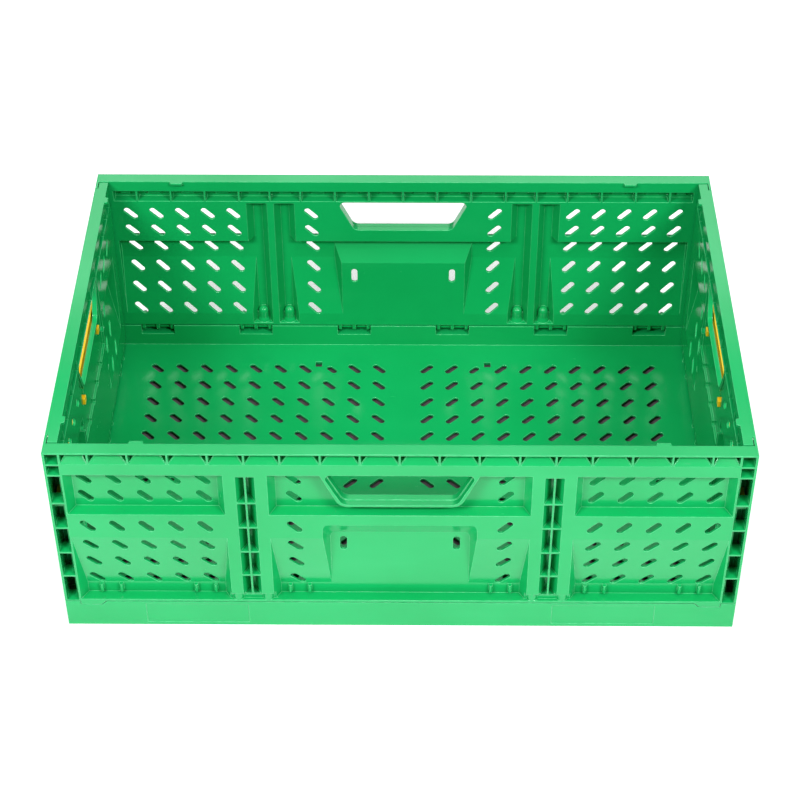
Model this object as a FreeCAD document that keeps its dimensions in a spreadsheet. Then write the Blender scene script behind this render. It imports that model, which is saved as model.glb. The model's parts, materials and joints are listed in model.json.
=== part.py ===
import FreeCAD, Part
import math
import os
import re

# Folding storage crate, millimetres.  X runs along the long sides, Y towards the rear long side, Z is up.
# The origin is in the middle of the footprint, on the surface that the crate stands on.
#
# Every wall is one moulding that steps in and out between its outer and its inner plane.  It is made as a slab of
# the full wall depth, cut from outside by one set of pockets and from inside by another, so that about one sheet
# thickness stays between them.  Half a wall is made and mirrored, because all walls are symmetric.

doc = FreeCAD.newDocument("folding_crate")
sheet = doc.addObject("Spreadsheet::Sheet", "dims")

DIMENSIONS = (
    ("half_length", 300, "half of the outside length"),
    ("half_width", 200, "half of the outside width"),
    ("crate_top", 212, "top of the rim"),
    ("long_depth", 12.5, "depth of a long wall, outer to inner plane"),
    ("short_depth", 11.5, "depth of a short wall"),
    ("skin", 2.2, "thickness of the moulded sheet"),
    ("rib", 1.6, "thickness of a rib or web"),
    ("rim_flange", 210.4, "underside of the top flange"),
    ("rim_web", 199.6, "web between the hoppers outside and the boxes inside"),
    ("rim_box_floor", 3.2, "depth at which the sheet behind the boxes lies"),
    ("hopper_lean", 0.32, "share of a hopper's width that each side has lost at its back"),
    ("hopper_corner", 0.6, "width of a hopper's deep corner at its lower end"),
    ("band_bottom", 187, "lower edge of the rim band, top of the upper panel"),
    ("panel_step", 140, "step between the upper panel and the flush belt"),
    ("belt_bottom", 112, "lower edge of the flush belt, where the lower panel starts to slope in"),
    ("slope_end", 46, "where the sloping panel reaches its full depth"),
    ("band_foot", 41, "lower end of the flush bands beside the channel"),
    ("band_foot_cut", 3, "depth of the step below the flush bands"),
    ("groove_foot", 33.6, "lower end of the grooves behind the flush bands"),
    ("dome_radius", 5.2, "radius of the dome at the foot of each groove"),
    ("dome_middle", 45, "height of the middle of that dome"),
    ("dome_foot", 7, "radius at the foot of the flare below that dome"),
    ("flare_height", 5, "height of that flare"),
    ("wall_bottom", 31, "lower edge of a long wall"),
    ("foot_bottom", 26.4, "lower edge of the foot by each corner of a long wall"),
    ("foot_left", 267.5, "end of the foot, where its ramp starts"),
    ("panel_cut", 10.2, "depth of the outer pockets in a long wall"),
    ("side_cut", 9.3, "depth of the outer pockets in a short wall"),
    ("draft", 6, "how far a pocket's side leans over its depth"),
    ("slot_width", 6.1, "width of a drain or vent slot"),
    ("slot_reach", 16.4, "length of a slot, end to end"),
    ("slot_pitch", 25.4, "distance between neighbouring slots"),
    ("ladder_inner", 286, "where the corner ladder of a long wall starts"),
    ("corner_open", 290.6, "where that ladder's cells are open to the end of the short wall"),
    ("channel_rib", 131.25, "centre rib of the double channel"),
    ("channel_half", 8.2, "half width of the channel at the outer face"),
    ("channel_lean", 5.8, "how far a channel's outer side leans in over its depth"),
    ("bay_left", 150, "inner edge of the outer bay"),
    ("bay_centre", 112.5, "outer edge of the centre bay"),
    ("hole_top_half", 65, "half width of a hand hole at its top"),
    ("hole_bottom_half", 48.5, "half width of a hand hole at its bottom"),
    ("hole_top", 187.4, "top of a hand hole"),
    ("hole_bottom", 153.5, "bottom of a hand hole"),
    ("hole_round", 8, "corner radius of a hand hole"),
    ("hole_top_round", 4.5, "radius of its two upper corners"),
    ("hole_lip", 3, "width of the lip round a hand hole"),
    ("hole_step", 0.8, "how much wider a hand hole is in the outer half of the wall"),
    ("label_half", 67, "half width of the label recess at the outer face"),
    ("label_round", 7, "corner radius of that recess"),
    ("buttress_radius", 1.7, "nose radius of the short buttresses at a long wall's foot"),
    ("wing_reach", 10.5, "how far the corner wing of a long wall wraps round a short wall"),
    ("wing_skin", 2.2, "thickness of that wing"),
    ("wing_bottom", 186, "lower end of that wing"),
    ("short_half", 186, "half length of a short wall"),
    ("floor_top", 5, "top of the floor"),
    ("floor_under", 2.8, "underside of the floor sheet, where the rib grid starts"),
    ("rail_top", 30, "top of the base rail under a long wall"),
    ("rail_inner", 186.5, "inner face of that rail, from the middle"),
    ("apron_top", 20, "top of the base apron under a short wall"),
    ("apron_skin", 2, "thickness of the apron"),
    ("pin_radius", 2, "hinge pin"),
    ("bore_radius", 2.05, "bore round a hinge pin"),
    ("long_axis_y", 193, "hinge axis of a long wall, from the middle"),
    ("long_axis_z", 25.5, "height of that axis"),
    ("short_axis_x", 293.2, "hinge axis of a short wall, from the middle"),
    ("short_axis_z", 13.5, "height of that axis"),
    ("barrel_radius", 4.2, "hinge barrel of a short wall"),
    ("barrel_half", 10, "half length of a barrel between its two posts"),
    ("post_width", 4.2, "hinge post of the base"),
    ("knuckle_half", 17, "half width of a hinge notch for a long wall"),
    ("handle_half", 63, "half length of the pull bar"),
    ("handle_top", 154.5, "top of the pull bar"),
    ("handle_out", 3.2, "outer face of the pull bar, from the wall's outer plane"),
    ("handle_in", 6.6, "inner face of the pull bar"),
    ("centre_cut", 7, "depth of the outer pocket behind the pull bar"),
    ("centre_skin", 9.2, "inner face of the sheet behind the pull bar"),
    ("ledge", 104, "top of the proud label panel on a short wall"),
    ("bolt_low", 143.6, "underside of a latch bolt"),
    ("bolt_high", 149.6, "top of a latch bolt"),
    ("bolt_tip", 185.8, "tip of a latch bolt, from the middle"),
    ("travel", 5, "how far the pull bar moves up"),
    ("bolt_ratio", 0.8, "bolt travel for each unit of pull"),
    ("spring_seat", 171, "underside of the seats that the springs press against"),
    ("cam_low", 137.4, "lower edge of the cam plates of the pull bar"),
    ("cam_width", 4.4, "width of a cam slot"),
    ("cam_end", 88, "outer end of the pocket round a cam plate and its spring"),
)
for row, (alias, number, note) in enumerate(DIMENSIONS, start=1):
    sheet.set(f"A{row}", alias)
    sheet.set(f"B{row}", str(number))
    sheet.set(f"C{row}", note)
    sheet.setAlias(f"B{row}", alias)
doc.recompute()

NAMES = [alias for alias, number, note in DIMENSIONS]
WORD = re.compile(r"\b(" + "|".join(sorted(NAMES, key=len, reverse=True)) + r")\b")
ORIGIN = FreeCAD.Vector(0, 0, 0)
X_AXIS = FreeCAD.Vector(1, 0, 0)
Y_AXIS = FreeCAD.Vector(0, 1, 0)
Z_AXIS = FreeCAD.Vector(0, 0, 1)


def bind(piece, **sizes):
    """Binds properties to expressions of the sheet's names; _ stands for the dot in a property's path."""
    for path, expression in sizes.items():
        piece.setExpression(path.replace("_", "."), WORD.sub(r"dims.\1", str(expression)))
    return piece


def size(alias):
    """A number from the sheet, for the few shapes that are made outside the expressions."""
    return float(sheet.get(alias))


def box(name, x0, x1, y0, y1, z0, z1):
    """A block between two limits on each axis."""
    piece = doc.addObject("Part::Box", name)
    bind(piece, Length=f"({x1}) - ({x0})", Width=f"({y1}) - ({y0})", Height=f"({z1}) - ({z0})")
    return bind(piece, Placement_Base_x=x0, Placement_Base_y=y0, Placement_Base_z=z0)


def rod(name, radius, along, start, end, u, v):
    """A cylinder along X or Y; u and v are its centre on the two other axes, in order."""
    piece = doc.addObject("Part::Cylinder", name)
    bind(piece, Radius=radius, Height=f"({end}) - ({start})")
    if along == "X":
        piece.Placement.Rotation = FreeCAD.Rotation(Y_AXIS, 90)
        return bind(piece, Placement_Base_x=start, Placement_Base_y=u, Placement_Base_z=v)
    piece.Placement.Rotation = FreeCAD.Rotation(X_AXIS, -90)
    return bind(piece, Placement_Base_x=u, Placement_Base_y=start, Placement_Base_z=v)


def upright(name, radius, x, y, low, high):
    """A vertical cylinder."""
    piece = doc.addObject("Part::Cylinder", name)
    bind(piece, Radius=radius, Height=f"({high}) - ({low})")
    return bind(piece, Placement_Base_x=x, Placement_Base_y=y, Placement_Base_z=low)


def taper(name, near, far, near_limits, far_limits):
    """A block along Y whose X and Z limits change from the near plane to the far plane."""
    piece = doc.addObject("Part::Wedge", name)
    x0, x1, z0, z1 = near_limits
    bind(piece, Ymin=near, Xmin=x0, Xmax=x1, Zmin=z0, Zmax=z1)
    x0, x1, z0, z1 = far_limits
    return bind(piece, Ymax=far, X2min=x0, X2max=x1, Z2min=z0, Z2max=z1)


def column(name, outer, inner, low, high, low_limits, high_limits):
    """A block between two depths whose X limits change from its lower end to its upper end."""
    piece = doc.addObject("Part::Wedge", name)
    # the wedge's own Y axis is turned up to Z, so its Z axis points to -Y
    bind(piece, Ymin=low, Ymax=high, Xmin=low_limits[0], Xmax=low_limits[1], X2min=high_limits[0],
         X2max=high_limits[1])
    bind(piece, Zmin=f"-({inner})", Zmax=f"-({outer})", Z2min=f"-({inner})", Z2max=f"-({outer})")
    piece.Placement.Rotation = FreeCAD.Rotation(X_AXIS, 90)
    return piece


def fuse(name, parts):
    piece = doc.addObject("Part::MultiFuse", name)
    piece.Shapes = parts
    piece.Refine = True
    return piece


def cut(name, solid, tools):
    piece = doc.addObject("Part::Cut", name)
    piece.Base = solid
    piece.Tool = tools[0] if len(tools) == 1 else fuse(name + "_tools", tools)
    piece.Refine = True
    return piece


def mirror(name, source, normal):
    piece = doc.addObject("Part::Mirroring", name)
    piece.Source = source
    piece.Base = ORIGIN
    piece.Normal = normal
    return piece


def slots(name, centres, slant, axis, start, depth, width="slot_width"):
    """Straight rounded slots, cut along an axis; slant is their angle in the cut plane, in degrees."""
    half_width = size(width) / 2
    prisms = []
    for across, up, reach in centres:
        half_run = reach / 2 - half_width
        left, right = -half_run, half_run
        low, high = -half_width, half_width
        edges = (
            Part.LineSegment(FreeCAD.Vector(left, low, 0), FreeCAD.Vector(right, low, 0)),
            Part.Arc(FreeCAD.Vector(right, low, 0), FreeCAD.Vector(right + half_width, 0, 0),
                     FreeCAD.Vector(right, high, 0)),
            Part.LineSegment(FreeCAD.Vector(right, high, 0), FreeCAD.Vector(left, high, 0)),
            Part.Arc(FreeCAD.Vector(left, high, 0), FreeCAD.Vector(left - half_width, 0, 0),
                     FreeCAD.Vector(left, low, 0)),
        )
        outline = Part.Wire([edge.toShape() for edge in edges])
        prism = Part.Face(outline).extrude(FreeCAD.Vector(0, 0, depth))
        prism.rotate(ORIGIN, Z_AXIS, slant)
        if axis == "Y":
            prism.rotate(ORIGIN, X_AXIS, 90)
            prism.translate(FreeCAD.Vector(across, start + depth, up))
        else:
            prism.translate(FreeCAD.Vector(across, up, start))
        prisms.append(prism)
    piece = doc.addObject("Part::Feature", name)
    piece.Shape = Part.makeCompound(prisms)
    return piece


def trapezoid(name, grow, near, far):
    """The hand hole's outline as a block between two depths, grown on its sides and bottom, with round corners.

    The lip's outline has round corners below only: its sides run straight up to the rim band."""
    bottom, top = f"hole_bottom_half + ({grow})", f"hole_top_half + ({grow})"
    block = column(name + "_block", near, far, f"hole_bottom - ({grow})", "hole_top", (f"-({bottom})", bottom),
                   (f"-({top})", top))
    doc.recompute()
    middle = (block.Shape.BoundBox.ZMin + block.Shape.BoundBox.ZMax) / 2
    along = [(number, edge) for number, edge in enumerate(block.Shape.Edges, start=1)
             if abs(edge.tangentAt(edge.FirstParameter).y) > 0.99]
    piece = doc.addObject("Part::Fillet", name)
    piece.Base = block
    is_lip = grow == "hole_lip"
    radius = size("hole_round") + (size("hole_lip") if is_lip else 0)
    rounded = [(number, radius, radius) for number, edge in along if edge.CenterOfMass.z < middle]
    if not is_lip:
        radius = size("hole_top_round")
        rounded += [(number, radius, radius) for number, edge in along if edge.CenterOfMass.z > middle]
    piece.Edges = rounded
    return piece


def rounded_corner(name, block, radius):
    """Rounds the edge between a block's highest, outermost corner at the near plane and the same at the far plane."""
    doc.recompute()
    corner = block.Shape.BoundBox
    near_corner = FreeCAD.Vector(corner.XMax, corner.YMin, corner.ZMax)
    edges = [
        number for number, edge in enumerate(block.Shape.Edges, start=1)
        if min(vertex.Point.distanceToPoint(near_corner) for vertex in edge.Vertexes) < 0.01
        and max(vertex.Point.y for vertex in edge.Vertexes) > corner.YMax - 0.01
    ]
    piece = doc.addObject("Part::Fillet", name)
    piece.Base = block
    piece.Edges = [(number, size(radius), size(radius)) for number in edges]
    return piece


def rim_pockets(tag, outer, depth, ribs):
    """Two rows of pockets under the rim: hoppers with a sloping back from outside, boxes below them from inside."""
    hopper_floor = f"{outer} + {depth} - skin"
    box_floor = f"{outer} + rim_box_floor"
    tools = []
    for number, (left, right) in enumerate(zip(ribs[:-1], ribs[1:])):
        low, high = f"{left} + rib / 2", f"{right} - rib / 2"
        lean = f"({right} - {left}) * hopper_lean"
        tools.append(taper(f"{tag}_hopper_{number}", outer, hopper_floor, (low, high, "rim_web", "rim_flange"),
                           (f"{left} + {lean}", f"{right} - {lean}", "rim_flange - 1.4", "rim_flange")))
        # beside the sloping back the two upper corners go down to full depth
        corners = (("a", (low, f"{low} + hopper_corner"), (low, f"{left} + {lean}")),
                   ("b", (f"{high} - hopper_corner", high), (f"{right} - {lean}", high)))
        for side, at_foot, at_top in corners:
            tools.append(column(f"{tag}_hopper_{number}{side}", outer, hopper_floor, "rim_web + skin", "rim_flange",
                                at_foot, at_top))
        rim_box = taper(f"{tag}_rim_box_{number}", box_floor, f"{outer} + {depth}",
                        (f"{low} + 0.8", f"{high} - 0.8", "band_bottom + rib", "rim_web + 0.4"),
                        (low, high, "band_bottom + rib", "rim_web + 0.8"))
        # the hopper's back stands out in the upper middle of the box
        bulge = taper(f"{tag}_rim_bulge_{number}", f"{box_floor} - 1", f"{box_floor} + 3.6",
                      (f"{left} + {lean} - 2.5", f"{right} - {lean} + 2.5", "band_bottom + 5", "rim_flange"),
                      (f"{left} + {lean}", f"{right} - {lean}", "band_bottom + 7.2", "rim_flange"))
        tools.append(cut(f"{tag}_rim_box_cut_{number}", rim_box, [bulge]))
    return tools


def ladder(tag, outer, depth, left, right, rungs, lean_left="0", lean_right="0"):
    """A column of open cells between rungs, cut from outside; the two leans narrow a cell towards its floor."""
    tools = []
    for number, (low, high) in enumerate(zip(rungs[:-1], rungs[1:])):
        near = (left, right, f"{low} + rib / 2", f"{high} - rib / 2")
        far = (f"{left} + {lean_left}", f"{right} - {lean_right}", f"{low} + rib / 2 + 0.6", f"{high} - rib / 2")
        tools.append(taper(f"{tag}_{number}", outer, f"{outer} + {depth}", near, far))
    return tools


# ---------------------------------------------------------------------------------------------- long walls

LONG_OUT = "-half_width"
LONG_IN = "-half_width + long_depth"
LONG_FLOOR = "-half_width + panel_cut"
BELT_IN = "-half_width + skin"
LONG_RIBS = (0, 33.5, 67, 101, 131.3, 161.7, 195.3, 228.8, 262.3, 286)
CORNER_RUNGS = (31, 63, 92.5, 123, 153, 186)
TOP_RUNGS = (186, 198.2, 211.2)
CHANNEL_RUNGS = (38, 65, 94.5, 124.5, 154, 186)
SLOT_ROWS = (52.6, 77.1, 101.4, 126, 153, 173.5)
KNUCKLES = (51, 153, 255)
BUTTRESSES = (80.8, 98, 164.8, 182.3, 249.3, 266.8)
DOMES = (117.6, 144.4)
LABEL_SLOT = 49.5
LABEL_NOTCH = 123.6


def foot_plate(name, grow, outer, inner, top):
    """The foot by a corner of a long wall, or with grow its dip in the base: a plate with one ramped end."""
    low, left, right = f"foot_bottom - ({grow})", f"foot_left - ({grow})", f"ladder_inner + ({grow})"
    return column(name, outer, inner, low, top, (left, right), (f"{left} - (({top}) - ({low}))", right))


def bay(tag, outer, floor, left, right, low, high, floor_low, floor_high):
    """A recessed panel, cut from outside, with leaning sides."""
    return taper(tag, outer, floor, (left, right, low, high),
                 (f"{left} + draft", f"{right} - draft", floor_low, floor_high))


def make_front_wall():
    """The right half of the front wall is cut from a slab, mirrored and joined."""
    slab = box("front_slab", 0, "half_length", LONG_OUT, LONG_IN, "wall_bottom", "crate_top")
    handle_frame = trapezoid("front_frame", "hole_lip", LONG_OUT, LONG_IN)

    outside = rim_pockets("front", LONG_OUT, "long_depth", LONG_RIBS)
    outside += ladder("front_corner", LONG_OUT, "panel_cut", "ladder_inner + 1", "half_length - 2", CORNER_RUNGS)
    outside += ladder("front_corner_back", LONG_OUT, "long_depth", "corner_open", "half_length - 2", CORNER_RUNGS)
    outside += ladder("front_top_corner", LONG_OUT, "panel_cut", "ladder_inner + 1", "half_length - 2", TOP_RUNGS)
    outside += ladder("front_channel_a", LONG_OUT, "panel_cut", "channel_rib - channel_half",
                      "channel_rib - rib / 2", CHANNEL_RUNGS, lean_left="channel_lean")
    outside += ladder("front_channel_b", LONG_OUT, "panel_cut", "channel_rib + rib / 2",
                      "channel_rib + channel_half", CHANNEL_RUNGS, lean_right="channel_lean")
    outside.append(bay("front_upper_bay", LONG_OUT, LONG_FLOOR, "bay_left", "ladder_inner - 0.5",
                       "panel_step", "band_bottom", "panel_step + rib", "band_bottom - 1"))
    outside.append(bay("front_lower_bay", LONG_OUT, LONG_FLOOR, "bay_left", "ladder_inner - 0.5",
                       "wall_bottom + skin", "belt_bottom", "wall_bottom + skin", "slope_end"))
    outside.append(taper("front_centre_lower", LONG_OUT, LONG_FLOOR,
                         ("0", "bay_centre", "wall_bottom + skin", "belt_bottom"),
                         ("0", "bay_centre - draft", "wall_bottom + skin", "slope_end")))
    label = taper("front_label_block", LONG_OUT, LONG_FLOOR,
                  ("0", "label_half", "wall_bottom + skin", "belt_bottom + 16"),
                  ("0", "label_half - draft", "wall_bottom + skin", "belt_bottom - 2"))
    outside.append(rounded_corner("front_label", label, "label_round"))
    outside.append(box("front_band_foot", "bay_centre - draft", "bay_left + draft", f"{LONG_OUT} - 1",
                       f"{LONG_OUT} + band_foot_cut", "wall_bottom + skin", "band_foot"))
    outside.append(box("front_label_notch", LABEL_SLOT - 3, LABEL_SLOT + 3, f"{LONG_OUT} - 1",
                       f"{LONG_OUT} + skin", LABEL_NOTCH - 4, LABEL_NOTCH))
    centre_upper = taper("front_centre_upper", LONG_OUT, LONG_FLOOR,
                         ("0", "bay_centre", "panel_step", "band_bottom"),
                         ("0", "bay_centre - draft", "panel_step + rib", "band_bottom - 1"))
    outside.append(cut("front_centre_bay", centre_upper, [handle_frame]))

    inside = []
    # behind the two flush bands beside the channel the sheet follows the band, from the rim down to its foot
    inside.append(taper("front_groove_outer", BELT_IN, LONG_IN,
                        ("channel_rib + 9.2", "bay_left - 1", "band_foot + 2", "band_bottom - 1"),
                        ("channel_rib + 3.4", "bay_left + 5", "band_foot + 2", "band_bottom - 1")))
    inside.append(taper("front_groove_inner", BELT_IN, LONG_IN,
                        ("bay_centre + 1", "channel_rib - 9.2", "band_foot + 2", "band_bottom - 1"),
                        ("bay_centre - 5", "channel_rib - 3.4", "band_foot + 2", "band_bottom - 1")))
    foot_floor = f"{LONG_OUT} + band_foot_cut + skin"
    inside.append(taper("front_groove_outer_foot", foot_floor, LONG_IN,
                        ("channel_rib + 7.4", "bay_left + 1", "groove_foot", "band_foot + 4"),
                        ("channel_rib + 3.4", "bay_left + 5", "groove_foot", "band_foot + 4")))
    inside.append(taper("front_groove_inner_foot", foot_floor, LONG_IN,
                        ("bay_centre - 1", "channel_rib - 7.4", "groove_foot", "band_foot + 4"),
                        ("bay_centre - 5", "channel_rib - 3.4", "groove_foot", "band_foot + 4")))
    inside.append(taper("front_belt_outer", BELT_IN, LONG_IN,
                        ("bay_left - 3", "ladder_inner - 1.3", "belt_bottom", "panel_step - rib"),
                        ("bay_left - 3", "ladder_inner - 1.3", "slope_end", "panel_step - 0.6")))
    inside.append(taper("front_belt_centre", BELT_IN, LONG_IN,
                        ("label_half + 2.3", "bay_centre + 3", "belt_bottom", "panel_step - rib"),
                        ("label_half - 4.7", "bay_centre + 3", "slope_end", "panel_step - 0.6")))
    inside.append(taper("front_belt_label", BELT_IN, LONG_IN,
                        ("0", "label_half + 4", "belt_bottom + 18.3", "panel_step - rib"),
                        ("0", "label_half + 4", "belt_bottom + 0.3", "panel_step - 0.6")))

    start = -size("half_width") - 1
    depth = size("long_depth") + 2
    reach = size("slot_reach")
    columns = [91] + [168.2 + size("slot_pitch") * step for step in range(5)]
    vents = slots("front_vents", [(x, z, reach) for x in columns for z in SLOT_ROWS], 45, "Y", start, depth)
    label_vents = slots("front_label_vents", [(LABEL_SLOT, 96.2, 16.5)], 90, "Y", start, depth)
    shaped = cut("front_half_cut", slab, outside + inside + [vents, label_vents])

    added = [shaped]
    # the latch bolt's strike plate closes the back of one corner cell
    plate = box("front_strike_plate", "ladder_inner", "half_length - 1", f"{LONG_IN} - skin", LONG_IN,
                "bolt_low - 4", "bolt_high + 4")
    strike = box("front_strike", "half_length - handle_in - 0.4", "half_length - handle_out + 0.4",
                 f"{LONG_IN} - skin - 1", f"{LONG_IN} + 1", "bolt_low - 0.6", "bolt_high + 0.6")
    added.append(cut("front_strike_cut", plate, [strike]))
    added.append(box("front_wing", "half_length - wing_skin", "half_length", LONG_IN, f"{LONG_IN} + wing_reach",
                     "wing_bottom", "crate_top"))
    added.append(taper("front_tab", LONG_IN, f"{LONG_IN} + 3.4", (215.5, 228.5, "crate_top - 3.2", "crate_top"),
                       (216.5, 227.5, "crate_top - 2.2", "crate_top")))
    # the foot by each corner hangs into a dip of the base rail and ends in a ramp
    added.append(foot_plate("front_foot", "0", LONG_OUT, f"{LONG_OUT} + skin", "wall_bottom + 1"))
    for number, x in enumerate(BUTTRESSES):
        added.append(upright(f"front_buttress_{number}", "buttress_radius", x, f"{LONG_FLOOR} - 1.9",
                             "slope_end - 10", "slope_end - 1"))
        added.append(box(f"front_buttress_web_{number}", f"{x} - buttress_radius", f"{x} + buttress_radius",
                         f"{LONG_FLOOR} - 1.9", f"{LONG_FLOOR} + 1", "slope_end - 10", "slope_end - 1"))
    for number, x in enumerate(DOMES):
        added.append(upright(f"front_dome_stem_{number}", "dome_radius", x, foot_floor, "groove_foot - 0.5",
                             "dome_middle"))
        ball = doc.addObject("Part::Sphere", f"front_dome_{number}")
        bind(ball, Radius="dome_radius", Placement_Base_x=x, Placement_Base_y=foot_floor,
             Placement_Base_z="dome_middle")
        added.append(cut(f"front_dome_inside_{number}", ball, [
            box(f"front_dome_outside_{number}", f"{x} - 9", f"{x} + 9", f"{LONG_OUT} - 3", f"{LONG_OUT} + rib",
                "dome_middle - 9", "dome_middle + 9")]))
        flare = doc.addObject("Part::Cone", f"front_flare_{number}")
        bind(flare, Radius1="dome_foot", Radius2="dome_radius", Height="flare_height", Placement_Base_x=x,
             Placement_Base_y=foot_floor, Placement_Base_z="groove_foot - 0.5")
        added.append(cut(f"front_flare_inside_{number}", flare, [
            box(f"front_flare_outside_{number}", f"{x} - 9", f"{x} + 9", f"{LONG_OUT} - 3", foot_floor,
                "groove_foot - 1", "dome_middle")]))
    for number, x in enumerate(KNUCKLES):
        for side, offset in (("a", -14.6), ("b", 0), ("c", 14.6)):
            tag = f"front_knuckle_{number}{side}"
            added.append(rod(tag, "barrel_radius - 0.2", "X", x + offset - 1.7, x + offset + 1.7,
                             "-long_axis_y", "long_axis_z"))
            added.append(box(tag + "_web", x + offset - 1.7, x + offset + 1.7, "-long_axis_y - 4", "-long_axis_y + 4",
                             "long_axis_z", "wall_bottom + 1"))
    solid_half = fuse("front_half_solid", added)
    holes = [rod(f"front_bore_{number}", "bore_radius", "X", x - 18, x + 18, "-long_axis_y", "long_axis_z")
             for number, x in enumerate(KNUCKLES)]
    half = cut("front_half", solid_half, holes)
    whole = fuse("front_both", [half, mirror("front_other_half", half, X_AXIS)])
    hole = trapezoid("front_hand_hole", "0", f"{LONG_OUT} - 1", f"{LONG_IN} + 1")
    step = trapezoid("front_hole_step", "hole_step", f"{LONG_OUT} - 1", f"{LONG_OUT} + long_depth / 2")
    return cut("front_wall", whole, [hole, step])


# --------------------------------------------------------------------------------------------- short walls
# A short wall is made as if it stood in front, with its outer plane at -half_length, and is then turned.

SHORT_OUT = "-half_length"
SHORT_IN = "-half_length + short_depth"
SHORT_FLOOR = "-half_length + side_cut"
SHORT_BELT_IN = "-half_length + skin"
CENTRE_FLOOR = "-half_length + centre_cut"
SHORT_RIBS = (0, 33.3, 66.6, 100, 131, 158, 178)
SHORT_RUNGS = (22, 52, 82, 112, 140, 181)
SHORT_SLOTS = (74.6, 100, 125.4)
BARRELS = (50, 150)
SHORT_BAY = "74"
SHORT_BAY_END = "158"
HOOK = 50
CAM = 73
SPRING = 77.5


def make_short_half():
    """The wall from its middle to one end."""
    slab = box("side_slab", 0, "short_half", SHORT_OUT, SHORT_IN, "apron_top + 0.6", "crate_top")
    outside = rim_pockets("side", SHORT_OUT, "short_depth", SHORT_RIBS)
    # the corner cells are open at the wall's end and closed outside
    outside += [box(f"side_corner_{number}", "short_half - 13", "short_half + 1", f"{SHORT_OUT} + rib", SHORT_FLOOR,
                    f"{low} + rib / 2", f"{high} - rib / 2")
                for number, (low, high) in enumerate(zip(SHORT_RUNGS[:-1], SHORT_RUNGS[1:]))]
    outside.append(bay("side_upper_bay", SHORT_OUT, SHORT_FLOOR, "label_half + 4", SHORT_BAY_END, "panel_step",
                       "band_bottom", "panel_step + rib", "band_bottom - 1"))
    outside.append(bay("side_lower_bay", SHORT_OUT, SHORT_FLOOR, SHORT_BAY, SHORT_BAY_END, "apron_top + 3",
                       "belt_bottom", "apron_top + 3", "slope_end"))
    centre = taper("side_centre_cut", SHORT_OUT, CENTRE_FLOOR,
                   ("0", "label_half + 5", "ledge + 2.6", "band_bottom"),
                   ("0", "label_half + 5", "ledge + 2.6", "band_bottom - 1"))
    outside.append(centre)
    outside.append(bay("side_label", SHORT_OUT, SHORT_FLOOR, "-10", "label_half - 5", "apron_top + 3", "ledge - 2",
                       "apron_top + 3", "ledge - 4"))
    bolt_way = box("side_bolt_way", "label_half", "short_half + 1", f"{SHORT_OUT} + handle_out - 0.5",
                   f"{SHORT_OUT} + handle_in + 0.4", "bolt_low - 0.5", "bolt_high + 0.5")
    outside.append(bolt_way)
    cam_pocket = box("side_cam_pocket", "label_half", "cam_end", f"{SHORT_OUT} - 1", CENTRE_FLOOR, "cam_low - 0.9",
                     "spring_seat + 1")
    outside.append(cam_pocket)
    outside.append(box("side_wing_notch", "half_width - long_depth - wing_reach - 0.6", "short_half + 1",
                       f"{SHORT_OUT} - 1", f"{SHORT_OUT} + wing_skin + 0.8", "wing_bottom - 1.5", "crate_top + 1"))
    outside.append(box("side_foot_step", "-1", "short_half + 1", f"{SHORT_OUT} - 1",
                       "-short_axis_x - barrel_radius + 0.2", "apron_top - 1", "apron_top + 1"))

    inside = [taper("side_belt_in", SHORT_BELT_IN, SHORT_IN,
                    ("label_half + 8", SHORT_BAY_END + " + 3", "belt_bottom", "panel_step - rib"),
                    ("label_half + 8", SHORT_BAY_END + " + 3", "slope_end", "panel_step - 0.6"))]
    field = box("side_field", "-1", "label_half + 3", f"{SHORT_OUT} + centre_skin", f"{SHORT_IN} + 1", "ledge",
                "band_bottom - 1")
    inside.append(cut("side_field_cut", field, [trapezoid("side_frame", "hole_lip", SHORT_OUT, SHORT_IN)]))
    inside += [box(f"side_ledge_notch_{number}", x - 3, x + 3, f"{SHORT_IN} - 2.4", f"{SHORT_IN} + 1", "ledge - 3.4",
                   "ledge + 1") for number, x in enumerate((13.5, 40.5))]
    inside.append(box("side_hook_window", HOOK - 4, HOOK + 4, f"{SHORT_OUT} + 6", f"{SHORT_IN} + 1", 133.6, 148.2))

    start = -size("half_length") - 1
    depth = size("short_depth") + 2
    reach = size("slot_reach")
    vents = slots("side_vents", [(x, z, reach) for x in SHORT_SLOTS for z in (52.6, 77.1, 101.4, 126)], 45, "Y",
                  start, depth)
    upper_vents = slots("side_upper_vents", [(x + 13, 168, reach) for x in SHORT_SLOTS], 45, "Y", start, depth)
    shaped = cut("side_half_cut", slab, outside + inside + [vents, upper_vents])

    added = [shaped]
    added.append(taper("side_tab", SHORT_IN, f"{SHORT_IN} + 3.0", (153, 162, "crate_top - 3.2", "crate_top"),
                       (154, 161, "crate_top - 2.2", "crate_top")))
    added.append(box("side_spring_seat", SPRING - 4, SPRING + 4, f"{SHORT_OUT} + 2.5", f"{SHORT_FLOOR} + 0.5",
                     "spring_seat", "spring_seat + rib"))
    cam_cup = box("side_cam_cup", "label_half + 5", "cam_end + rib", f"{SHORT_OUT} + rib",
                  f"{SHORT_OUT} + centre_skin", "cam_low - 0.9 - rib", "panel_step + rib")
    added.append(cut("side_cam_cup_cut", cam_cup, [cam_pocket]))
    added.append(rod("side_barrel", "barrel_radius", "X", 0, "short_half", "-short_axis_x", "short_axis_z"))
    added.append(box("side_barrel_web", 0, "short_half", "-short_axis_x - barrel_radius + 0.2",
                     "-short_axis_x + barrel_radius", "short_axis_z", "apron_top + 0.6"))
    for number, (low, high) in enumerate(((104, 106), (118, 120))):
        guide = box(f"side_guide_{number}", low, high, f"{SHORT_OUT} + 1.4", f"{SHORT_FLOOR} + 0.5",
                    "panel_step + 1", "bolt_high + 2.6")
        added.append(cut(f"side_guide_{number}_cut", guide, [bolt_way]))
    solid_half = fuse("side_half_solid", added)

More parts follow.
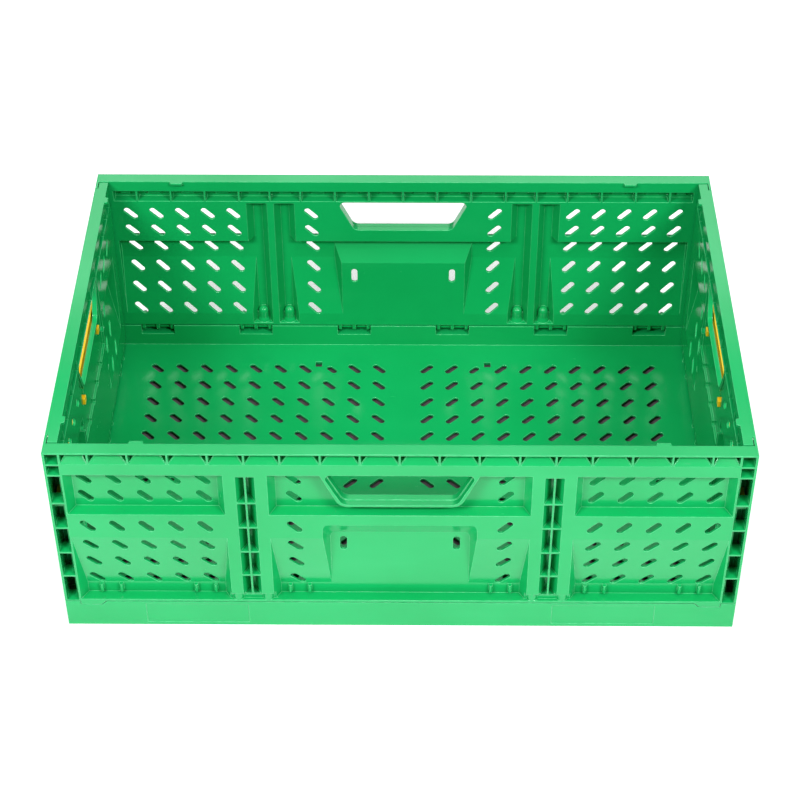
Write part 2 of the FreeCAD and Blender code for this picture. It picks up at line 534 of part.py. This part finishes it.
    gaps = []
    for number, x in enumerate(BARRELS):
        for side, low in (("a", f"{x} - barrel_half - post_width - 0.8"), ("b", f"{x} + barrel_half")):
            gaps.append(box(f"side_gap_{number}{side}", low, f"{low} + post_width + 0.8", "-short_axis_x - 6",
                            "-short_axis_x + 6", 5, "apron_top + 0.6"))
        gaps.append(rod(f"side_bore_{number}", "bore_radius", "X", x - 16, x + 16, "-short_axis_x", "short_axis_z"))
    return cut("side_half", solid_half, gaps)


def turned(name, shape):
    """A copy of a piece made in front, turned to stand at the left end of the crate."""
    piece = fuse(name, [shape, mirror(name + "_other_half", shape, X_AXIS)])
    piece.Placement.Rotation = FreeCAD.Rotation(Z_AXIS, -90)
    return piece


def make_left_wall():
    half = make_short_half()
    whole = fuse("side_both", [half, mirror("side_other_half", half, X_AXIS)])
    hole = trapezoid("side_hand_hole", "0", f"{SHORT_OUT} - 1", f"{SHORT_IN} + 1")
    step = trapezoid("side_hole_step", "hole_step", f"{SHORT_OUT} - 1", f"{SHORT_OUT} + short_depth / 2")
    wall = cut("left_wall", whole, [hole, step])
    wall.Placement.Rotation = FreeCAD.Rotation(Z_AXIS, -90)
    return wall


# --------------------------------------------------------------------------------------------------- latch

def make_left_handle():
    """A pull bar with two hooks through the wall and an inclined cam slot at each end."""
    bar = box("handle_bar", 0, "handle_half", f"{SHORT_OUT} + handle_out", f"{SHORT_OUT} + handle_in",
              "panel_step + 2", "bolt_high + 0.9")
    grip = box("handle_grip", 0, "handle_half", f"{SHORT_OUT} + handle_out", f"{SHORT_OUT} + handle_out + 1.8",
               "panel_step + 3", "handle_top")
    leg = box("handle_leg", HOOK - 5.5, HOOK + 5.5, f"{SHORT_OUT} + handle_out", f"{SHORT_OUT} + handle_in",
              128, "panel_step + 3")
    hook = box("handle_hook", HOOK - 3.2, HOOK + 3.2, f"{SHORT_OUT} + handle_in - 1", f"{SHORT_IN} - 0.2", 135, 141.6)
    cam_plate = box("handle_cam_plate", "handle_half - 2", SPRING + 6, f"{SHORT_OUT} + handle_out",
                    f"{SHORT_OUT} + handle_out + 1.5", "cam_low", "handle_top")
    solid = fuse("handle_half_solid", [bar, grip, leg, hook, cam_plate])
    # the peg moves in by bolt_ratio for each unit of pull, so the slot leans by the same ratio
    lean = math.degrees(math.atan2(1, size("bolt_ratio")))
    peg_height = (size("bolt_low") + size("bolt_high")) / 2
    run = size("travel") * math.hypot(1, size("bolt_ratio"))
    middle = (CAM - size("travel") * size("bolt_ratio") / 2, peg_height - size("travel") / 2)
    cam = slots("handle_cam", [(middle[0], middle[1], run + size("cam_width"))], lean, "Y",
                -size("half_length") + 1, 6, "cam_width")
    half = cut("handle_half_piece", solid, [cam])
    return turned("left_latch_handle", half)


def make_left_bolts():
    """Two sliding bolts; each has a thin tongue behind the cam plate and a peg in the cam slot."""
    tongue = box("bolt_tongue", CAM - 4, 96, f"{SHORT_OUT} + handle_out + 1.9", f"{SHORT_OUT} + handle_in",
                 "bolt_low", "bolt_high")
    bar = box("bolt_bar", 90, "bolt_tip", f"{SHORT_OUT} + handle_out", f"{SHORT_OUT} + handle_in", "bolt_low",
              "bolt_high")
    peg = rod("bolt_peg", "cam_width / 2 - 0.3", "Y", f"{SHORT_OUT} + handle_out - 0.6",
              f"{SHORT_OUT} + handle_out + 2.5", CAM, "(bolt_low + bolt_high) / 2")
    # made at the positive end of the wall in front, which is the front end once turned to the left side
    front = fuse("left_latch_bolt_front", [tongue, bar, peg])
    rear = mirror("bolt_other", front, X_AXIS)
    return front, rear


def make_springs():
    """A folded leaf spring above each end of the pull bar."""
    half_width, strip, rise, turns = 2.4, 1.1, 1.9, 8
    seat, ceiling = size("handle_top"), size("spring_seat")
    pitch = (ceiling - seat) / turns
    corners = [(SPRING + half_width * (-1) ** number, seat + pitch * number) for number in range(turns + 1)]
    left_side = [FreeCAD.Vector(x - strip, 0, z) for x, z in corners]
    right_side = [FreeCAD.Vector(x + strip, 0, z) for x, z in reversed(corners)]
    face = Part.Face(Part.makePolygon(left_side + right_side + left_side[:1]))
    outer = -size("half_length") + size("handle_out")
    spring = face.extrude(FreeCAD.Vector(0, rise, 0))
    spring.translate(FreeCAD.Vector(0, outer + 0.1, 0))
    leaf = doc.addObject("Part::Feature", "spring_leaf")
    leaf.Shape = spring
    pair = doc.addObject("Part::Compound", "left_latch_springs")
    pair.Links = [leaf, mirror("spring_other_leaf", leaf, X_AXIS)]
    pair.Placement.Rotation = FreeCAD.Rotation(Z_AXIS, -90)
    return pair


# ---------------------------------------------------------------------------------------------------- base

FLOOR_COLUMNS = 10
FLOOR_ROWS = 6
RIBS_X = tuple(11.8 + 50.8 * step for step in range(6))
RIBS_Y = (8.3, 59.2, 110.1, 160.9)


def make_base():
    """A quarter of the base is made and mirrored twice."""
    rail_y0, rail_y1 = "rail_inner", "half_width"
    parts = [box("floor_sheet", 0, "half_length - 1", 0, "half_width - 1", "floor_under", "floor_top")]
    parts += [box(f"floor_rib_x_{number}", x - 0.9, x + 0.9, 0, "half_width - 1", 0, "floor_top - 1")
              for number, x in enumerate(RIBS_X)]
    parts += [box(f"floor_rib_y_{number}", 0, "half_length - 1", y - 0.9, y + 0.9, 0, "floor_top - 1")
              for number, y in enumerate(RIBS_Y)]
    rail = box("rail", 0, "half_length", rail_y0, rail_y1, 0, "rail_top")
    hollows = []
    edges = [1] + [25.5 + 51 * step for step in range(6)] + [298]
    for number, (left, right) in enumerate(zip(edges[:-1], edges[1:])):
        hollows.append(box(f"rail_hollow_{number}", left + 0.9, right - 0.9, f"{rail_y0} + skin", f"{rail_y1} - skin",
                           "-1", 16.5))
    hollows.append(box("rail_label", 136, 228, f"{rail_y1} - 0.5", f"{rail_y1} + 1", 3.5, 27))
    hollows.append(foot_plate("rail_dip", "0.5", "half_width - skin - 0.5", "half_width + 1", "rail_top + 1"))
    for number, x in enumerate(KNUCKLES):
        hollows.append(box(f"rail_notch_{number}", f"{x} - knuckle_half", f"{x} + knuckle_half", f"{rail_y0} - 1",
                           f"{rail_y1} - skin", 19, "rail_top + 1"))
        hollows.append(rod(f"rail_bore_{number}", "bore_radius", "X", x - 20, x + 20, "long_axis_y", "long_axis_z"))
    parts.append(cut("rail_cut", rail, hollows))
    apron = box("apron", "half_length - apron_skin", "half_length", 0, f"{rail_y0} + 1", 0, "apron_top")
    dip = box("apron_dip", 290, 301, -1, 36, 9, 30)
    parts.append(cut("apron_cut", apron, [dip]))
    parts.append(box("short_skirt", "half_length - apron_skin - 12", "half_length - apron_skin - 10.4", 0,
                     f"{rail_y0} + 1", 0, "floor_top"))
    for number, y in enumerate(BARRELS):
        for side, low in (("a", f"{y} - barrel_half - post_width - 0.4"), ("b", f"{y} + barrel_half + 0.4")):
            parts.append(box(f"post_{number}{side}", "short_axis_x - 3.9", "short_axis_x + 3.9", low,
                             f"{low} + post_width", "floor_top - 1", "short_axis_z + 3.8"))
    solid = fuse("base_quarter_solid", parts)

    bores = [rod(f"post_bore_{number}", "bore_radius", "Y", y - 16, y + 16, "short_axis_x", "short_axis_z")
             for number, y in enumerate(BARRELS)]
    pitch = size("slot_pitch")
    columns = [24.5 + pitch * step for step in range(FLOOR_COLUMNS)]
    rows = [21 + pitch * step for step in range(FLOOR_ROWS)]
    short_spot = (columns[2], rows[-1])
    spots = [(x, y, size("slot_reach")) for x in columns for y in rows if (x, y) != short_spot]
    spots.append((short_spot[0] - 2, short_spot[1] - 1.5, size("slot_reach") - 4))
    drains = slots("floor_drains", spots, 45, "Z", -1, 8)
    square = box("floor_square_hole", 83.7, 90.3, 151.2, 158.8, -1, 8)
    quarter = cut("base_quarter", solid, bores + [drains, square])
    half = fuse("base_half", [quarter, mirror("base_quarter_left", quarter, X_AXIS)])
    return fuse("base_tray", [half, mirror("base_half_front", half, Y_AXIS)])


def make_pins():
    """Hinge pins: six under each long wall, four under each short wall."""
    long_pins = []
    for number, x in enumerate(KNUCKLES):
        long_pins.append(rod(f"long_pin_{number}", "pin_radius", "X", x - 19.5, x + 19.5, "-long_axis_y",
                             "long_axis_z"))
    long_half = doc.addObject("Part::Compound", "long_pin_half")
    long_half.Links = long_pins
    front = doc.addObject("Part::Compound", "front_hinge_pins")
    front.Links = [long_half, mirror("long_pin_other", long_half, X_AXIS)]
    short_half = doc.addObject("Part::Compound", "short_pin_half")
    short_half.Links = [rod(f"short_pin_{number}", "pin_radius", "Y", y - 15.2, y + 15.2, "-short_axis_x",
                            "short_axis_z") for number, y in enumerate(BARRELS)]
    left = doc.addObject("Part::Compound", "left_hinge_pins")
    left.Links = [short_half, mirror("short_pin_other", short_half, Y_AXIS)]
    return front, left


def finish(nodes):
    """Checks the whole document, then writes each sub-part to its own file."""
    doc.recompute()
    for thing in doc.Objects:
        if "Invalid" in thing.State or "Error" in thing.State:
            raise RuntimeError(f"{thing.Name} failed: {thing.State}")
    os.makedirs("parts", exist_ok=True)
    for label, thing in nodes.items():
        thing.Label = label
        shape = thing.Shape
        if shape.isNull() or not shape.isValid():
            raise RuntimeError(f"{label} has no valid shape")
        shape.exportStep(f"parts/{label}.step")
        print(label, len(shape.Solids), "solids", len(shape.Faces), "faces", round(shape.Volume / 1000, 1), "cm3")


front_wall = make_front_wall()
left_wall = make_left_wall()
left_handle = make_left_handle()
bolt_front, bolt_rear = make_left_bolts()
left_springs = make_springs()
front_pins, left_pins = make_pins()
SIDE_TURN = FreeCAD.Placement(ORIGIN, FreeCAD.Rotation(Z_AXIS, -90))
bolt_front.Placement = SIDE_TURN
bolt_rear = mirror("left_latch_bolt_rear", bolt_front, Y_AXIS)

finish({
    "base_tray": make_base(),
    "front_wall": front_wall,
    "rear_wall": mirror("rear_wall", front_wall, Y_AXIS),
    "left_wall": left_wall,
    "right_wall": mirror("right_wall", left_wall, X_AXIS),
    "left_latch_handle": left_handle,
    "right_latch_handle": mirror("right_latch_handle", left_handle, X_AXIS),
    "left_latch_bolt_front": bolt_front,
    "left_latch_bolt_rear": bolt_rear,
    "right_latch_bolt_front": mirror("right_latch_bolt_front", bolt_front, X_AXIS),
    "right_latch_bolt_rear": mirror("right_latch_bolt_rear", bolt_rear, X_AXIS),
    "left_latch_springs": left_springs,
    "right_latch_springs": mirror("right_latch_springs", left_springs, X_AXIS),
    "front_hinge_pins": front_pins,
    "rear_hinge_pins": mirror("rear_hinge_pins", front_pins, Y_AXIS),
    "left_hinge_pins": left_pins,
    "right_hinge_pins": mirror("right_hinge_pins", left_pins, X_AXIS),
})
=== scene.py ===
"""Folding storage crate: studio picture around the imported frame.  Metres, X along the long sides, Z up."""
import json
import math

import bpy
from mathutils import Matrix, Vector

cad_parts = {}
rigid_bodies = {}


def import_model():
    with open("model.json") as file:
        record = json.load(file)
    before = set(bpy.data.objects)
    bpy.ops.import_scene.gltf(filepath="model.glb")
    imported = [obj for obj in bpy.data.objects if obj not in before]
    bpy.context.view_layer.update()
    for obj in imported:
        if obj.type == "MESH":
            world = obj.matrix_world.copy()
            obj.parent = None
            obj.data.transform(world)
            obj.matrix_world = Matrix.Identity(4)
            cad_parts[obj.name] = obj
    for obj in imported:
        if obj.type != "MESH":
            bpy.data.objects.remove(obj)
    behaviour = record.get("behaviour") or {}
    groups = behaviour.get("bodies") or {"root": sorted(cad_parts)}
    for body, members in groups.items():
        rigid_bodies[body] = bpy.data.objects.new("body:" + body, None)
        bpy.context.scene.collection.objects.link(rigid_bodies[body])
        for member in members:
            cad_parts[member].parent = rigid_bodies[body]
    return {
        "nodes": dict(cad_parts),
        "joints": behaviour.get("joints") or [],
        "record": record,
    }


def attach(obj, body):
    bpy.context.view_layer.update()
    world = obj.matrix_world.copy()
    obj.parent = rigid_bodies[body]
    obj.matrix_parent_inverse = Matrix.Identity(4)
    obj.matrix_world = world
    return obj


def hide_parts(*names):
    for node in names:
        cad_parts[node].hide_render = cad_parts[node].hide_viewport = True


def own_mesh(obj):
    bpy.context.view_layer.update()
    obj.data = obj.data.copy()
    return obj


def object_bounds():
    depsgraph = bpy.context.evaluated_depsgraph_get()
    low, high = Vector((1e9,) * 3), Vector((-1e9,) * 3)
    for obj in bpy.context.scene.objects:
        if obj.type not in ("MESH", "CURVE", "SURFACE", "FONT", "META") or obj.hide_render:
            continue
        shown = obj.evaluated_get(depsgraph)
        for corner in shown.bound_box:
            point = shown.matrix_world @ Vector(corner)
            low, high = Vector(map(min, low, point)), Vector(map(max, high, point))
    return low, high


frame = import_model()
CAD_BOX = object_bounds()
NODES = frame["nodes"]
SLOTS = {part["node"]: part["material_slot"] for part in frame["record"]["subparts"]}
scene = bpy.context.scene

# ----------------------------------------------------------------------------------------------- values

# Each plastic: its colour, the deeper colour of its clouds, the paler one of its edges (partly wear, partly
# a painted highlight on the rounded edges), and its roughness.
PLASTICS = {
    "crate_green": ((0.009, 0.36, 0.112), (0.007, 0.33, 0.098), (0.13, 0.60, 0.29), 0.13),
    "latch_yellow": ((0.92, 0.58, 0.015), (0.86, 0.50, 0.01), (0.97, 0.72, 0.12), 0.22),
    "bolt_plastic": ((0.92, 0.58, 0.015), (0.86, 0.50, 0.01), (0.97, 0.72, 0.12), 0.26),
    "spring_plastic": ((0.80, 0.78, 0.70), (0.74, 0.72, 0.63), (0.9, 0.88, 0.82), 0.35),
    "pin_green": ((0.0005, 0.33, 0.092), (0.0005, 0.30, 0.08), (0.03, 0.42, 0.14), 0.25),
}
PLASTIC_IOR = 1.5
EDGE_RADIUS = 0.0009
EDGE_SAMPLES = 8
# The cosines between the rounded and the true normal at which an edge's paler rim, partly wear and partly
# painted highlight, starts and is full.
EDGE_COSINES = (0.998, 0.88)

# A noise's scale and detail, its stretch along the axes where it has one, and the noise values between
# which its effect grows.  A share is how much of the paler colour it brings in, a dulling how much
# roughness it adds.
CLOUD = {"scale": 9.0, "detail": 3.0}
CLOUD_COLOUR_RANGE = (0.35, 0.7)
CLOUD_GLOSS_RANGE = (0.3, 0.7)
CLOUD_DULLING = 0.07
STREAK = {"scale": 1.0, "detail": 2.0, "stretch": (6.0, 6.0, 30.0)}
STREAK_RANGE = (0.55, 0.8)
STREAK_SHARE = 0.04
# This noise mottles the paler edge rims, which are partly wear and partly a painted highlight.
WEAR_AND_HIGHLIGHT = {"scale": 140.0, "detail": 3.0}
WEAR_AND_HIGHLIGHT_RANGE = (0.40, 0.62)
WEAR_AND_HIGHLIGHT_SHARES = (0.5, 0.9)
WEAR_AND_HIGHLIGHT_DULLING = 0.04
SCUFF = {"scale": 60.0, "detail": 4.0, "stretch": (1.0, 5.0, 1.0)}
SCUFF_RANGE = (0.66, 0.76)
SCUFF_DULLING = 0.12
WAVE = {"scale": 28.0, "detail": 1.0}
WAVE_BUMP = {"distance": 0.002, "strength": 0.012}
GRAIN = {"scale": 900.0, "detail": 2.0}
GRAIN_BUMP = {"distance": 0.0001, "strength": 0.02}

# The ground, as colour, roughness and glow.  Its clouds are a trace darker than its colour.
FLOOR_LOOK = ((0.93, 0.93, 0.93), 0.6, 0.2)
SHADE_LOOK = ((0.10, 0.085, 0.09), 0.8, 0.0)
GROUND_CLOUD = {"scale": 3.0}
GROUND_CLOUD_TONE = 0.985
FLOOR_REACH = 6.0
FLOOR_HEIGHT = -0.0002
SHADE_HEIGHT = -0.0001
SHADE_INSET = 0.004

WORLD_STRENGTH = 0.2
LOW_TARGET = (0, 0, 0.1)
RIM_TARGET = (0, 0, 0.15)
# The two front lights of each side: name, distance from the middle and power in watts.
KEYS = (("wide_key", 1.5, 21.5), ("near_key", 1.05, 18))
KEY_Y, KEY_Z = -1.5, 1.75
KEY_SIZE = (0.5, 0.5)
# The other lights: name, place, target, size and power in watts.
MIDDLE_LIGHTS = (
    ("top", (0.0, 0.0, 2.4), LOW_TARGET, (1.2, 0.8), 12.5),
    ("glint", (0.0, -0.9, 2.3), LOW_TARGET, (0.25, 0.45), 8),
    ("rim_low", (0.0, 1.7, 1.42), RIM_TARGET, (1.6, 0.36), 3.5),
    ("rim_high", (0.0, 1.7, 2.08), RIM_TARGET, (1.8, 0.12), 2),
)

# The camera looks down from in front with a long lens: degrees, and millimetres for lens and sensor.
CAMERA_PLACE = (0.013679, -1.429361, 1.374250)
CAMERA_AZIMUTH, CAMERA_ELEVATION, CAMERA_ROLL = 0.6147, 41.8376, -0.1967
LENS_LENGTH, SENSOR_WIDTH = 91.15, 36.0
VIEW_REACH = 50.0

# ----------------------------------------------------------------------------------------- node helpers


class Graph:
    """A material's node tree, with short calls for the nodes used here."""

    def __init__(self, name):
        self.material = bpy.data.materials.new(name)
        self.material.use_nodes = True
        self.tree = self.material.node_tree
        self.shader = self.tree.nodes["Principled BSDF"]
        self.position = self.add("ShaderNodeTexCoord").outputs["Object"]

    def add(self, kind, **settings):
        node = self.tree.nodes.new(kind)
        for key, value in settings.items():
            setattr(node, key, value)
        return node

    def feed(self, source, socket):
        """Links an output to a socket, or sets the socket's value."""
        if isinstance(source, bpy.types.NodeSocket):
            self.tree.links.new(source, socket)
        else:
            socket.default_value = source

    def noise(self, scale, detail=2.0, stretch=None):
        node = self.add("ShaderNodeTexNoise")
        node.inputs["Scale"].default_value = scale
        node.inputs["Detail"].default_value = detail
        self.feed(self.stretched(stretch) if stretch else self.position, node.inputs["Vector"])
        return node.outputs["Fac"]

    def stretched(self, scale):
        node = self.add("ShaderNodeMapping")
        node.inputs["Scale"].default_value = scale
        self.feed(self.position, node.inputs["Vector"])
        return node.outputs["Vector"]

    def remap(self, value, start, end=(0.0, 1.0)):
        """Takes the start pair's range of values to the end pair's, and holds it there."""
        node = self.add("ShaderNodeMapRange")
        node.clamp = True
        for key, number in zip(("From Min", "From Max", "To Min", "To Max"), (*start, *end)):
            node.inputs[key].default_value = number
        self.feed(value, node.inputs["Value"])
        return node.outputs["Result"]

    def maths(self, operation, first, second):
        node = self.add("ShaderNodeMath", operation=operation)
        self.feed(first, node.inputs[0])
        self.feed(second, node.inputs[1])
        return node.outputs[0]

    def mix(self, factor, first, second):
        """Mixes two colours; a colour is an output or three numbers."""
        node = self.add("ShaderNodeMix", data_type="RGBA")
        self.feed(factor, node.inputs["Factor"])
        first_colour, second_colour = node.inputs[6], node.inputs[7]
        for source, socket in ((first, first_colour), (second, second_colour)):
            self.feed(source if isinstance(source, bpy.types.NodeSocket) else (*source, 1.0), socket)
        return node.outputs[2]

    def bump(self, height, normal, distance, strength):
        node = self.add("ShaderNodeBump")
        node.inputs["Distance"].default_value = distance
        node.inputs["Strength"].default_value = strength
        self.feed(height, node.inputs["Height"])
        self.feed(normal, node.inputs["Normal"])
        return node.outputs["Normal"]


# -------------------------------------------------------------------------------------------- materials


def moulded_plastic(name, colour, deep, pale, gloss):
    """Glossy injection-moulded plastic: rounded edges with paler rims of wear and painted highlight, faint
    flow streaks, sink waviness, fine scuffs.
    """
    g = Graph(name)
    rounded = g.add("ShaderNodeBevel", samples=EDGE_SAMPLES)
    rounded.inputs["Radius"].default_value = EDGE_RADIUS
    geometry = g.add("ShaderNodeNewGeometry")
    facing = g.add("ShaderNodeVectorMath", operation="DOT_PRODUCT")
    g.feed(rounded.outputs["Normal"], facing.inputs[0])
    g.feed(geometry.outputs["Normal"], facing.inputs[1])
    edge = g.remap(facing.outputs["Value"], EDGE_COSINES)

    cloud = g.noise(**CLOUD)
    streak = g.noise(**STREAK)
    tone = g.mix(g.remap(cloud, CLOUD_COLOUR_RANGE), colour, deep)
    tone = g.mix(g.remap(streak, STREAK_RANGE, (0.0, STREAK_SHARE)), tone, pale)
    # paler edge rims: partly wear, partly a painted highlight standing in for light caught on the rounded
    # edges
    wear_and_highlight = g.maths("MULTIPLY", edge, g.remap(g.noise(**WEAR_AND_HIGHLIGHT), WEAR_AND_HIGHLIGHT_RANGE, WEAR_AND_HIGHLIGHT_SHARES))
    g.feed(g.mix(wear_and_highlight, tone, pale), g.shader.inputs["Base Color"])

    scuff = g.remap(g.noise(**SCUFF), SCUFF_RANGE)
    rough = g.maths("ADD", g.remap(cloud, CLOUD_GLOSS_RANGE, (gloss, gloss + CLOUD_DULLING)),
                    g.maths("MULTIPLY", scuff, SCUFF_DULLING))
    rough = g.maths("ADD", rough, g.maths("MULTIPLY", wear_and_highlight, WEAR_AND_HIGHLIGHT_DULLING))
    g.feed(rough, g.shader.inputs["Roughness"])

    normal = g.bump(g.noise(**WAVE), rounded.outputs["Normal"], **WAVE_BUMP)
    normal = g.bump(g.noise(**GRAIN), normal, **GRAIN_BUMP)
    g.feed(normal, g.shader.inputs["Normal"])
    g.shader.inputs["IOR"].default_value = PLASTIC_IOR
    return g.material


def add_live_springs():
    """Gives each pull handle's return springs a mesh of their own, held on the joint's parent body, and
    hides the imported springs.
    """
    for joint in frame["joints"]:
        if not joint["name"].endswith("_handle_pull"):
            continue
        node = joint["name"].replace("handle_pull", "latch_springs")
        springs = bpy.data.objects.new(f"{node}_live", NODES[node].data.copy())
        scene.collection.objects.link(springs)
        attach(springs, joint["parent"])
        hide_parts(node)
        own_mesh(springs)


MATERIALS = {name: moulded_plastic(name, *look) for name, look in PLASTICS.items()}
for node, thing in NODES.items():
    thing.data.materials.clear()
    thing.data.materials.append(MATERIALS[SLOTS[node]])
    thing.data.shade_flat()
add_live_springs()

# ----------------------------------------------------------------------------------------------- studio


def ground_material(name, colour, roughness, glow):
    g = Graph(name)
    darker = tuple(GROUND_CLOUD_TONE * part for part in colour)
    g.feed(g.mix(g.noise(**GROUND_CLOUD), colour, darker), g.shader.inputs["Base Color"])
    g.shader.inputs["Roughness"].default_value = roughness
    g.shader.inputs["Emission Color"].default_value = (1, 1, 1, 1)
    g.shader.inputs["Emission Strength"].default_value = glow
    return g.material


def add_ground(name, left, front, right, rear, height, material):
    """A flat rectangle under the crate."""
    mesh = bpy.data.meshes.new(name)
    corners = [(left, front, 0), (right, front, 0), (right, rear, 0), (left, rear, 0)]
    mesh.from_pydata(corners, [], [(0, 1, 2, 3)])
    mesh.materials.append(material)
    ground = bpy.data.objects.new(name, mesh)
    ground.location.z = height
    scene.collection.objects.link(ground)


def add_floor():
    add_ground("floor", -FLOOR_REACH, -FLOOR_REACH, FLOOR_REACH, FLOOR_REACH, FLOOR_HEIGHT,
               ground_material("floor_pale", *FLOOR_LOOK))
    # the surface right under the crate lies in its own shade
    (left, front, _), (right, rear, _) = CAD_BOX
    left, front = left + SHADE_INSET, front + SHADE_INSET
    right, rear = right - SHADE_INSET, rear - SHADE_INSET
    add_ground("under_shade", left, front, right, rear, SHADE_HEIGHT,
               ground_material("shade_grey", *SHADE_LOOK))


def add_light(name, place, target, size, power):
    lamp = bpy.data.lights.new(name, "AREA")
    lamp.shape = "RECTANGLE"
    lamp.size, lamp.size_y = size
    lamp.energy = power
    holder = bpy.data.objects.new(name, lamp)
    holder.location = place
    holder.rotation_euler = (Vector(target) - Vector(place)).to_track_quat("-Z", "Y").to_euler()
    scene.collection.objects.link(holder)


def add_camera():
    """The picture's viewpoint, in front and above, with a long lens."""
    azimuth, elevation = math.radians(CAMERA_AZIMUTH), math.radians(CAMERA_ELEVATION)
    roll = math.radians(CAMERA_ROLL)
    back = Vector((math.sin(azimuth) * math.cos(elevation), -math.cos(azimuth) * math.cos(elevation),
                   math.sin(elevation)))
    right = (-back).cross(Vector((0, 0, 1))).normalized()
    up = right.cross(-back)
    axis_x = math.cos(roll) * right + math.sin(roll) * up
    axis_y = math.cos(roll) * up - math.sin(roll) * right
    lens = bpy.data.cameras.new("camera")
    lens.lens, lens.sensor_width = LENS_LENGTH, SENSOR_WIDTH
    lens.clip_end = VIEW_REACH
    camera = bpy.data.objects.new("camera", lens)
    turn = Matrix((axis_x, axis_y, back)).transposed().to_4x4()
    camera.matrix_world = Matrix.Translation(CAMERA_PLACE) @ turn
    scene.collection.objects.link(camera)
    scene.camera = camera


def add_world():
    world = bpy.data.worlds.new("studio")
    world.use_nodes = True
    background = world.node_tree.nodes["Background"]
    background.inputs["Color"].default_value = (1, 1, 1, 1)
    background.inputs["Strength"].default_value = WORLD_STRENGTH
    scene.world = world


scene.view_settings.view_transform = "Standard"
scene.view_settings.look = "Medium High Contrast"
add_floor()
add_world()
for side in (-1, 1):
    for name, reach, power in KEYS:
        add_light(f"{name}_{side}", (side * reach, KEY_Y, KEY_Z), LOW_TARGET, KEY_SIZE, power)
for light in MIDDLE_LIGHTS:
    add_light(*light)
add_camera()
